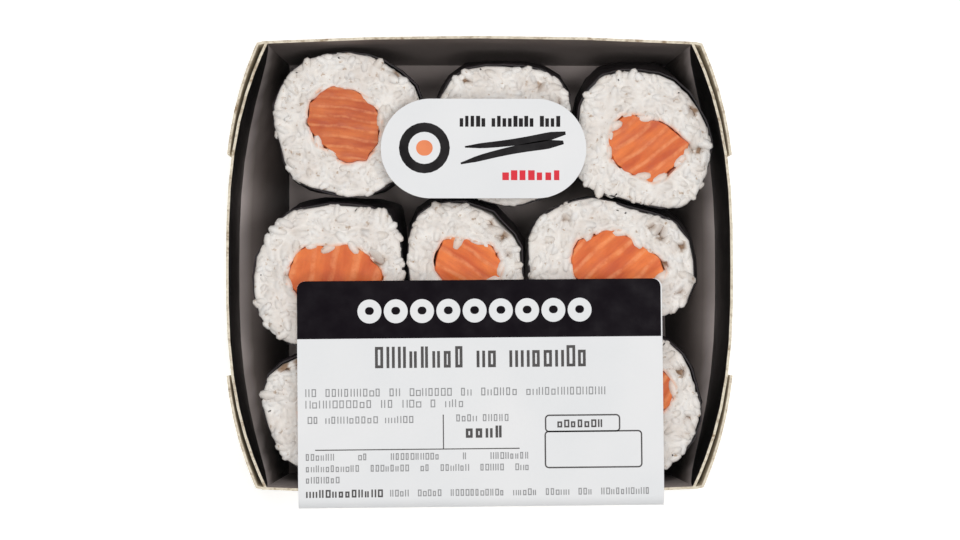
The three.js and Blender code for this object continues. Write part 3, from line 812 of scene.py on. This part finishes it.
def rice_bed(place, seed):
    skin, fish = SKINS[place], FISHES[place]
    rings = [skin.ring(skin.low, BED_AROUND, BED_FOOT)]
    rings += [skin.ring(skin.high + up * MM, BED_AROUND, inset * MM) for up, inset in SHOULDER]
    rings += [skin.ring(RICE_TOP + up * MM, BED_AROUND, inset * MM) for up, inset in ROUNDING]
    angles = [TAU * i / BED_AROUND for i in range(BED_AROUND)]
    inner, lip = (
        [fish.point(angle, RICE_TOP - down, -fish_gap(angle, seed)) for angle in angles]
        for down in (0, BED_LIP)
    )
    outer = rings[-1]
    for k in range(1, BED_RINGS + 1):
        rings.append([a.lerp(b, k / BED_RINGS) for a, b in zip(outer, inner)])
    for ring in rings[-BED_RINGS:]:
        for point in ring:
            point.z = paste_height(place, point)
    rings += [lip, fish.ring(skin.low, BED_AROUND, -FISH_GAP)]
    bm = loft(rings, ends="bridge")
    layers = tint_layers(bm)
    for vertex in bm.verts:
        tint(vertex, layers, place, 0.5, 1.0, 1.2)
    return piece(bm, f"rice_bed_{place}", "rice", RICE, stands_for=[f"rice_{place}"], sharpest=80)


one_a_roll("rice beds", rice_bed, 3.1)

# %% [markdown]
# ## Whole grains
#
# Each grain is a small sphere from a bmesh operator. It lies on its side, so that its poles
# become the grain's two ends, and a matrix scales, tips and places it. A grain has only forty
# faces, because there are well over a thousand of them, and all go into one mesh.

# %% Grain shapes
def grain_matrix(grain):
    """Where a unit sphere becomes a grain: scaled along its heading, tipped and placed."""
    size = [side * grain.size for side in GRAIN.values()]
    turn = Matrix.Rotation(grain.heading, 4, "Z") @ Matrix.Rotation(grain.pitch, 4, "Y")
    shape = Matrix.Diagonal(size).to_4x4() @ Matrix.Rotation(math.pi / 2, 4, "Y")
    return Matrix.Translation(grain.place) @ turn @ shape


def roll_grains(place):
    """All whole grains of one roll as a bmesh."""
    bm = bmesh.new()
    layers = tint_layers(bm)
    for grain in LAID[place]:
        where = grain_matrix(grain)
        made = bmesh.ops.create_uvsphere(bm, u_segments=8, v_segments=5, radius=0.5, matrix=where)
        for vertex in made["verts"]:
            tint(vertex, layers, place, 0.25 + 0.5 * grain.tone, 0.3, 0.5)
    return bm


# %% Strew the grains
def joined(parts):
    """One bmesh that holds several, which are freed."""
    whole = bmesh.new()
    for part in parts:
        carrier = bpy.data.meshes.new("carrier")
        part.to_mesh(carrier)
        part.free()
        whole.from_mesh(carrier)
        bpy.data.meshes.remove(carrier)
    return whole


grain_mesh = joined([roll_grains(place) for place in PLACES])
grains = piece(grain_mesh, "rice_grains", "rice", RICE, sharpest=180)
triangles = sum(len(polygon.vertices) - 2 for polygon in grains.data.polygons)
print("grains:", sum(len(laid) for laid in LAID.values()), "triangles:", triangles)

# %% [markdown]
# ## Crumbs of seaweed
#
# The knife drags small flakes of seaweed over the cut face. Each is a small sphere of few
# faces, pressed flat, stretched, made uneven by noise, and laid on the rice near the rim.

# %% Seaweed crumbs
CRUMBS_A_ROLL = 3


def crumb(bm, place, rng):
    angle = rng.uniform(0, TAU)
    point = SKINS[place].point(angle, RICE_TOP, rng.uniform(0.5, 1.8) * MM)
    point.z = paste_height(place, point) + 0.02 * MM
    size = [rng.uniform(0.3, 0.8) * MM, rng.uniform(0.2, 0.4) * MM, 0.12 * MM]
    turn = Matrix.Rotation(rng.uniform(0, TAU), 4, "Z")
    tip = Matrix.Rotation(rng.uniform(-0.4, 0.4), 4, "X")
    where = Matrix.Translation(point) @ turn @ tip @ Matrix.Diagonal(size).to_4x4()
    made = bmesh.ops.create_icosphere(bm, subdivisions=1, radius=0.5, matrix=where)
    for vertex in made["verts"]:
        vertex.co += 0.12 * MM * noise.noise_vector(vertex.co / (0.4 * MM))


noise.seed_set(80)  # else the clock seeds noise_vector, and each run makes other flakes
crumb_mesh = bmesh.new()
for seed, place in enumerate(PLACES):
    rng = random.Random(80 + seed)
    for _ in range(CRUMBS_A_ROLL):
        crumb(crumb_mesh, place, rng)
piece(crumb_mesh, "nori_crumbs", "nori", NORI, sharpest=180)
print("seaweed crumbs:", CRUMBS_A_ROLL * len(PLACES))

# %% [markdown]
# ## Salmon
#
# A stick of raw salmon is cut across its muscle: orange flakes, with thin pale lines of fat
# between them that bend a little. Each stick was laid in its roll at its own angle, so the
# lines turn from roll to roll. The finish is a wave, bent by noise and squeezed by a ramp into
# narrow pale lines. The cut face gets a low ridge along the same lines.

# %% Salmon finish
WAVE_TURN = 20  # how far the wave texture turns in a metre at scale 1, in radians
FLAKES = {  # each stick's fat lines: angle in degrees, how far apart, how plain; its brightness
    "back_left": (84, 1.9 * MM, 0.35, 0.80),
    "back_middle": (20, 2.0 * MM, 0.5, 1.0),
    "back_right": (128, 2.6 * MM, 0.45, 0.98),
    "middle_left": (170, 4.2 * MM, 0.4, 0.98),
    "middle_middle": (58, 2.6 * MM, 0.4, 1.0),
    "middle_right": (132, 2.9 * MM, 0.5, 1.03),
    "front_left": (70, 2.2 * MM, 0.5, 1.0),
    "front_middle": (110, 2.4 * MM, 0.5, 1.0),
    "front_right": (150, 2.4 * MM, 0.5, 1.0),
}


def raw_salmon(place):
    turn, apart, plain, shade = FLAKES[place]
    finish = Finish(
        f"salmon_{place}", IOR=1.38, Subsurface_Weight=0.2, Subsurface_Radius=(1.0, 0.45, 0.25),
        Subsurface_Scale=1.2 * MM,
    )
    bands = {
        "Vector": finish.place(turn=-turn), "Scale": TAU / WAVE_TURN / apart, "Distortion": 3.4,
        "Detail": 2.0, "Detail Scale": 0.7,
    }
    wave = finish.node("ShaderNodeTexWave", bands, "Fac", wave_type="BANDS", bands_direction="X")
    flake = finish.noise(apart * 0.8, 3, where=finish.place((1, 0.2, 1), -turn))
    flesh = finish.noise(2.2 * MM, 5, 0.65)
    orange = finish.ramp(flake, (0.34, (0.66, 0.105, 0.014)), (0.66, (0.90, 0.225, 0.040)))
    dull, bright = (0.90 * shade, 0.84 * shade, 0.78), (shade, shade, 1)
    mottled = finish.ramp(flesh, (0.35, dull), (0.65, bright))
    line = finish.ramp(wave, (0.70, (0, 0, 0)), (0.98, (plain, plain, plain)))
    broken = finish.ramp(flesh, (0.38, (0.15, 0.15, 0.15)), (0.58, (1, 1, 1)))
    fat = finish.darkened(line, broken)
    finish.paint(finish.mixed(fat, finish.darkened(orange, mottled), (0.95, 0.42, 0.18, 1)))
    finish.roughen(flesh, 0.34, 0.5)
    finish.bump(wave, 0.05 * MM)
    return finish.material


# %% Sticks of salmon
STICK_AROUND, STICK_STEPS = 96, 10
STICK_PROUD = 0.12 * MM  # how far it stands over the cut face
STICK_TRIMMED = 1.5 * MM  # how far down the knife makes its edge uneven
STICK_EDGE = 0.3 * MM  # how far down the edge of its cut face is rounded


def flake_height(point, place, seed):
    """Low ridges along the fat lines, and a little unevenness from the knife."""
    turn, apart, _, _ = FLAKES[place]
    across = point.x * math.cos(math.radians(turn)) + point.y * math.sin(math.radians(turn))
    ridge = math.sin(TAU * across / apart / 1.5)
    return (0.05 * ridge + 0.16 * noise.noise(point / (3 * MM) + Vector((seed, 0, 0)))) * MM


def salmon_stick(place, seed):
    fish = FISHES[place]
    top = RICE_TOP + STICK_PROUD
    centre = fish.middle(top)
    rim = fish.ring(top, STICK_AROUND)
    for point in rim:  # small notches from the knife, and a broad waviness
        away = (point - centre).normalized()
        point += away * 0.35 * MM * noise.noise(point / (1.2 * MM) + Vector((0, seed, 0)))
        point += away * 0.8 * MM * noise.noise(point / (3.2 * MM) + Vector((seed, 0, 0)))
    rings = [fish.ring(fish.low, STICK_AROUND), fish.ring(top - STICK_TRIMMED, STICK_AROUND)]
    rings.append([point - Vector((0, 0, STICK_EDGE)) for point in rim])
    for k in range(STICK_STEPS):
        share = 0.985 * (1 - k / STICK_STEPS)
        rings.append([centre.lerp(point, share) for point in rim])
    for ring in rings[-STICK_STEPS:]:
        for point in ring:
            point.z += flake_height(point, place, seed)
    return piece(
        loft(rings), f"salmon_stick_{place}", "salmon", raw_salmon(place),
        stands_for=[f"salmon_{place}"], sharpest=50,
    )


one_a_roll("salmon sticks", salmon_stick, 5.7)

# %% [markdown]
# ## Film, paper and print
#
# The film is so clear that it only shows as a faint gloss at low angles. A mix of a clear and
# a glossy shader, by the Fresnel law, gives just that and lets all the light through. Only
# the film's outer faces mirror: a clear shader doesn't bend light as glass does, so the same
# law on the way out would shut in all the light that comes at a low angle. Paper is a satin
# off-white. Each ink wanders between two shades, the header's a near-black with some violet.


# %% Film and paper finishes
def clear_film():
    finish = Finish("film_clear")
    gloss = finish.node("ShaderNodeBsdfGlossy", {"Roughness": 0.08, "Color": (1, 1, 1, 1)})
    clear = finish.node("ShaderNodeBsdfTransparent", {"Color": (0.995, 0.997, 0.998, 1)})
    edge = finish.node("ShaderNodeFresnel", {"IOR": 1.2})
    outer = finish.calc("SUBTRACT", 1.0, finish.node("ShaderNodeNewGeometry", output="Backfacing"))
    share = finish.calc("MULTIPLY", edge, outer)
    mix = finish.node("ShaderNodeMixShader", {0: share, 1: clear, 2: gloss})
    finish.tree.links.new(mix, finish.tree.nodes["Material Output"].inputs["Surface"])
    finish.tree.nodes.remove(finish.shader)
    return finish.material


def label_paper():
    finish = Finish("paper_coated", IOR=1.45)
    fibre, cloud = finish.noise(0.7 * MM, 4), finish.noise(18 * MM, 2)
    finish.paint(finish.ramp(cloud, (0.3, (0.755, 0.765, 0.775)), (0.7, (0.80, 0.80, 0.805))))
    finish.roughen(fibre, 0.5, 0.62)
    finish.bump(fibre, 0.006 * MM)
    return finish.material


def ink(name, light, dark, roughness=0.4):
    """Printed ink, a little uneven as it lies on the paper."""
    finish = Finish(name, IOR=1.36)
    cloud = finish.noise(4 * MM, 4)
    finish.paint(finish.ramp(cloud, (0.3, dark), (0.7, light)))
    finish.roughen(cloud, roughness, roughness + 0.08)
    return finish.material


FILM = clear_film()
PAPER = label_paper()
INK_HEADER = ink("ink_header_black", (0.0055, 0.003, 0.006), (0.0035, 0.0015, 0.004), 0.12)
INK_TITLE = ink("ink_title_grey", (0.085, 0.08, 0.08), (0.06, 0.055, 0.055), 0.55)
INK_TEXT = ink("ink_text_grey", (0.33, 0.33, 0.335), (0.26, 0.26, 0.265), 0.55)
INK_BLACK = ink("ink_sticker_black", (0.012, 0.010, 0.011), (0.007, 0.006, 0.007), 0.16)
INK_RED = ink("ink_sticker_red", (0.75, 0.01, 0.03), (0.62, 0.008, 0.022))
INK_ORANGE = ink("ink_sticker_orange", (0.86, 0.26, 0.10), (0.75, 0.20, 0.07))
film_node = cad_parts["film"]
film_node.data.materials.clear()
film_node.data.materials.append(FILM)
print("film finished:", film_node.name)

# %% [markdown]
# ## The label and the sticker
#
# The label's solid has its bend, so it's copied, merged and shaded smooth. The sticker is
# made anew, because its round ends need more points than a solid is given: a circle is
# stretched into two half circles and lifted by its thickness.

# %% Label sheet
sheet_mesh = merged_copy("label")
piece(sheet_mesh, "label_sheet", "paper", PAPER, stands_for=["label"], sharpest=40)


# %% Sticker
CORNER_STEPS = 5


def flat_shape(bm, outline, low, high, material=0):
    """A thin plate with an outline, between two heights, in a bmesh that may hold others."""
    vertices = [bm.verts.new((x, y, low)) for x, y in outline]
    face = bm.faces.new(vertices)
    face.material_index = material
    made = bmesh.ops.extrude_face_region(bm, geom=[face])["geom"]
    raised = [v for v in made if isinstance(v, bmesh.types.BMVert)]
    bmesh.ops.translate(bm, verts=raised, vec=(0, 0, high - low))


def pill_outline(x, y, width, depth, steps=32):
    """A bar with round ends, round its middle."""
    radius = min(width, depth) / 2
    over, up = max(width / 2 - radius, 0), max(depth / 2 - radius, 0)
    points = []
    for k in range(4 * steps):
        angle = TAU * (k + 0.5) / (4 * steps)
        cx = math.copysign(over, math.cos(angle))
        cy = math.copysign(up, math.sin(angle))
        points.append((x + cx + radius * math.cos(angle), y + cy + radius * math.sin(angle)))
    return points


def box_outline(x0, y0, x1, y1, corner=0.0):
    """A box between two corners, with its own corners rounded."""
    points = []
    corners = (x1, y1, -1, -1), (x0, y1, 1, -1), (x0, y0, 1, 1), (x1, y0, -1, 1)
    for quarter, (cx, cy, sx, sy) in enumerate(corners):
        for k in range(CORNER_STEPS + 1 if corner else 1):
            angle = (quarter + k / CORNER_STEPS) * math.pi / 2
            px = cx + sx * corner + corner * math.cos(angle)
            py = cy + sy * corner + corner * math.sin(angle)
            points.append((px, py))
    return points


sticker_low, sticker_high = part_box("sticker")
STICKER_MIDDLE = (sticker_low + sticker_high) / 2
sticker_size = sticker_high - sticker_low
sticker_mesh = bmesh.new()
flat_shape(
    sticker_mesh,
    pill_outline(STICKER_MIDDLE.x, STICKER_MIDDLE.y, sticker_size.x, sticker_size.y),
    sticker_low.z, sticker_high.z,
)
bmesh.ops.recalc_face_normals(sticker_mesh, faces=sticker_mesh.faces)
piece(sticker_mesh, "sticker_pill", "paper", PAPER, stands_for=["sticker"])
print("sticker in mm:", in_mm(sticker_size))

# %% [markdown]
# ## Plain print
#
# The print is kept generic: no word can be read. Rows of small marks stand for lines of type,
# as a designer greeks a layout, with a box and a tab for the price, and two rules. The dark
# header has a row of pale rounds with dark middles, and the sticker a roll seen from above
# beside two strokes for chopsticks. All of it is flat plates two hundredths of a millimetre
# thick, laid out in the label's own millimetres from its back edge, and turned with it.

# %% Where the print lies
LABEL_TURN = math.radians(0.5)
LABEL_ORIGIN = Vector((-0.1, -2.9, 0)) * MM
LABEL_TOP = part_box("label")[1].z
INK_THICK, INK_GAP = 0.02 * MM, 0.01 * MM
FIELD_TOP = LABEL_TOP + INK_THICK + INK_GAP
ROUNDS_TOP = FIELD_TOP + INK_THICK + INK_GAP
LABEL_PLACE = Matrix.Translation(LABEL_ORIGIN) @ Matrix.Rotation(LABEL_TURN, 4, "Z")
ON_LABEL = LABEL_PLACE @ Matrix.Scale(MM, 4)
ON_STICKER = Matrix.Translation((STICKER_MIDDLE.x, STICKER_MIDDLE.y, 0)) @ Matrix.Scale(MM, 4)


def print_piece(outlines, top, where, name, slot, *materials, stands_for=()):
    """Prints outlines, each with the number of its ink, as thin plates on a surface."""
    bm = bmesh.new()
    for outline, number in outlines:
        flat_shape(bm, outline, 0, INK_THICK / MM, number)
    raised = Matrix.Translation((0, 0, top + INK_GAP)) @ where
    bmesh.ops.transform(bm, matrix=raised, verts=bm.verts)
    bmesh.ops.recalc_face_normals(bm, faces=bm.faces)
    piece(bm, name, slot, *materials, stands_for=stands_for)
    print(name, "has", len(outlines), "plates")


def between(outer, inner):
    """The quads between two outlines of equally many points."""
    corners = zip(outer, outer[1:] + outer[:1], inner[1:] + inner[:1], inner)
    return [list(quad) for quad in corners]


def frame_of(x0, y0, x1, y1, line, corner=0.0):
    """The quads of a frame round a box, with a line of a given thickness."""
    inner_corner = max(corner - line, 0.001) if corner else 0
    inner = box_outline(x0 + line, y0 + line, x1 - line, y1 - line, inner_corner)
    return between(box_outline(x0, y0, x1, y1, corner), inner)


type_rng = random.Random(5)


def greeked(words, left, top, height, letter, gap, number=0, justify=None, line=0.0):
    """A line of type as plain marks: words is a list of how many marks each word has."""
    total = sum(words) * letter + (len(words) - 1) * gap
    extra = (justify - total) / (len(words) - 1) if justify and len(words) > 1 else 0
    outlines = []
    x = left
    for count in words:
        for _ in range(count):
            foot, end = top - height, x + letter * type_rng.uniform(0.6, 0.78)
            high = foot + height * type_rng.choice((0.78, 1.0, 1.0))
            if not line:
                marks = [box_outline(x, foot, end, high)]
            elif type_rng.random() < 0.55:  # some as open boxes, some as two upright lines
                marks = frame_of(x, foot, end, high, line)
            else:
                marks = [box_outline(x, foot, x + line, high)]
                marks.append(box_outline(end - line, foot, end, high))
            outlines += [(mark, number) for mark in marks]
            x += letter
        x += gap + extra
    return outlines


# %% Print on the label
LINES = (  # marks in each word, left, top, height, mark, gap, ink, width to fill, stroke
    ([8, 2, 7], -20.2, -12.7, 4.1, 2.2, 1.9, 0, None, 0.55),
    ([2, 9, 2, 7, 2, 6, 13], -33.6, -20.7, 1.5, 1.2, 1.4, 1, 58.0, 0.2),
    ([10, 2, 3, 1, 3], -33.6, -22.9, 1.5, 1.3, 1.5, 1, None, 0.2),
    ([2, 9, 5], -33.2, -26.0, 1.35, 1.15, 1.1, 1, None, 0.2),
    ([4, 5], -4.7, -25.8, 1.35, 1.05, 0.9, 1, None, 0.2),
    ([6, 2, 10, 1, 8], -33.6, -33.1, 1.3, 0.95, 0.9, 1, 43.0, 0.2),
    ([11, 8, 2, 6, 5, 3], -33.6, -35.3, 1.3, 0.95, 0.9, 1, 43.0, 0.2),
    ([7], -33.6, -37.5, 1.25, 0.95, 0.9, 1, None, 0.2),
    ([4, 5, 11, 5, 5, 3, 10], -17.5, -40.1, 1.3, 0.95, 0.9, 1, 50.0, 0.2),
    ([12], -33.6, -40.0, 1.5, 1.25, 0, 0, None, 0.3),
    ([4], -2.9, -28.0, 2.3, 1.9, 0, 0, None, 0.5),
)
TAB_LINE = ([7], 14.7, -27.0, 1.5, 1.3, 0, 0, None, 0.3)
RULES = ((-7.3, -32.3, -7.1, -25.8), (-31.8, -32.5, 7.4, -32.3))
FRAMES = ((12.2, -36.3, 31.0, -29.1), (12.3, -29.4, 26.8, -26.0))
label_print = [mark for line in LINES for mark in greeked(*line)]
label_print += [(box_outline(*rule), 0) for rule in RULES]
label_print += [(quad, 0) for box in FRAMES for quad in frame_of(*box, 0.28, 0.8)]
label_print += greeked(*TAB_LINE)
print_piece(label_print, LABEL_TOP, ON_LABEL, "label_print", "ink", INK_TITLE, INK_TEXT)

# %% Header field and its rounds
FIELD_LEFT, FIELD_FOOT, FIELD_RIGHT, FIELD_CORNER = -35.1, -11.1, 34.85, 1.6
field_box = box_outline(FIELD_LEFT, FIELD_FOOT, FIELD_RIGHT, 0, FIELD_CORNER)
field = [point for point in field_box if point[1] > FIELD_FOOT / 2]
field += [(FIELD_LEFT, FIELD_FOOT), (FIELD_RIGHT, FIELD_FOOT)]
print_piece(
    [(field, 0)], LABEL_TOP, ON_LABEL, "header_field", "ink", INK_HEADER,
    stands_for=["label_header"],
)
ROUNDS = [-21.2 + 5.05 * i for i in range(9)]  # where they lie from left to right
header_rounds = [(pill_outline(x, -5.9, 4.6, 4.6, 10), 0) for x in ROUNDS]
header_dots = [(pill_outline(x, -5.8, 1.7, 1.5, 6), 0) for x in ROUNDS]
print_piece(header_rounds, FIELD_TOP, ON_LABEL, "header_rounds", "paper", PAPER)
print_piece(header_dots, ROUNDS_TOP, ON_LABEL, "header_dots", "ink", INK_HEADER)

# %% Print on the sticker
STROKE_STEPS = 14


def stroke(x0, y0, x1, y1, thick0, thick1, bend):
    """A brush stroke from one end to the other, with its own thickness at each end."""
    along = Vector((x1 - x0, y1 - y0))
    side = Vector((-along.y, along.x)).normalized()
    left, right = [], []
    for k in range(STROKE_STEPS + 1):
        t = k / STROKE_STEPS
        middle = Vector((x0, y0)) + along * t + side * bend * math.sin(math.pi * t)
        half = (thick0 + (thick1 - thick0) * t) / 2 * min(1, 0.35 + 4 * min(t, 1 - t))
        left.append(tuple(middle + side * half))
        right.append(tuple(middle - side * half))
    return left + right[::-1]


def circle(x, y, radius, count=24):
    angles = [TAU * k / count for k in range(count)]
    return [(x + radius * math.cos(angle), y + radius * math.sin(angle)) for angle in angles]


ROLL_MARK = (-11.4, 0.1)
sticker_print = greeked([5, 8, 4], -4.6, 6.3, 2.1, 1.05, 0.9)
sticker_print += greeked([7], 3.6, -4.2, 1.9, 1.66, 0, 1)
ring_quads = between(circle(*ROLL_MARK, 4.9), circle(*ROLL_MARK, 3.1))
sticker_print += [(quad, 0) for quad in ring_quads]
sticker_print.append((pill_outline(*ROLL_MARK, 3.2, 3.0, 8), 2))
sticker_print.append((stroke(-4.4, -2.9, 15.4, 1.2, 1.0, 2.0, 0.5), 0))
sticker_print.append((stroke(-3.6, 0.3, 15.8, 3.0, 0.9, 1.8, -0.4), 0))
sticker_inks = INK_BLACK, INK_RED, INK_ORANGE
print_piece(sticker_print, sticker_high.z, ON_STICKER, "sticker_print", "ink", *sticker_inks)

# %% [markdown]
# ## Floor, light and camera
#
# The tray stands on a pale floor that glows a little. Four soft lights, high up on all sides
# of it, leave almost no shadow. The camera hangs 450 mm above the rim, a little to the front
# left of the middle, and looks almost straight down, with the tray's front at the foot of the
# picture.


# %% Floor
def pale_floor():
    finish = Finish(
        "floor_pale", Roughness=0.8, Emission_Color=(1, 1, 1, 1), Emission_Strength=0.35
    )
    cloud = finish.noise(0.3, 2)
    finish.paint(finish.ramp(cloud, (0.3, (0.88, 0.88, 0.88)), (0.7, (0.90, 0.90, 0.90))))
    return finish.material


floor_mesh = bmesh.new()
bmesh.ops.create_grid(floor_mesh, x_segments=1, y_segments=1, size=3)
floor = mesh_of(floor_mesh, "floor", pale_floor())
print("floor:", round(floor.dimensions.x), "m wide")


# %% Lights
def soft_light(name, place, power):
    """A square light that looks at the tray."""
    data = bpy.data.lights.new(name, "AREA")
    data.shape = "SQUARE"
    data.size = 0.36
    data.energy = power
    light = in_scene(name, data)
    light.location = place
    light.rotation_mode = "QUATERNION"
    light.rotation_quaternion = (Vector() - Vector(place)).to_track_quat("-Z", "Y")


world = bpy.data.worlds.new("studio")
world.use_nodes = True
background = world.node_tree.nodes["Background"]
background.inputs["Color"].default_value = (1, 1, 1, 1)
background.inputs["Strength"].default_value = 0.2
bpy.context.scene.world = world
LIGHTS = ((0, 0.48, 3.9), (0, -0.48, 3.4), (-0.48, 0, 2.5), (0.48, 0, 3.5))  # x, y and power
for i, (x, y, power) in enumerate(LIGHTS):
    soft_light(f"softbox_{i}", (x, y, 1.15), power)
print("lights:", len(LIGHTS))

# %% Camera
CAMERA_HEIGHT = 450 * MM
CAMERA_PLACE = Vector((-8.5 * MM, -13.3 * MM, RIM_Z + CAMERA_HEIGHT))
CAMERA_TARGET = Vector((0.0, -1.0 * MM, RIM_Z))
PICTURE_WIDTH = 184.6 * MM  # what the picture spans at the rim
camera_data = bpy.data.cameras.new("camera")
camera = in_scene("camera", camera_data)
back = (CAMERA_PLACE - CAMERA_TARGET).normalized()
right = Vector((1, 0, 0))
right = (right - back * right.dot(back)).normalized()
turn = Matrix((right, back.cross(right), back)).transposed().to_4x4()
camera.matrix_world = Matrix.Translation(CAMERA_PLACE) @ turn
camera_data.lens = camera_data.sensor_width * CAMERA_HEIGHT / PICTURE_WIDTH
camera_data.clip_start = 0.01
bpy.context.scene.camera = camera
bpy.context.scene.view_settings.view_transform = "Standard"
print("lens in mm:", round(camera_data.lens, 1))
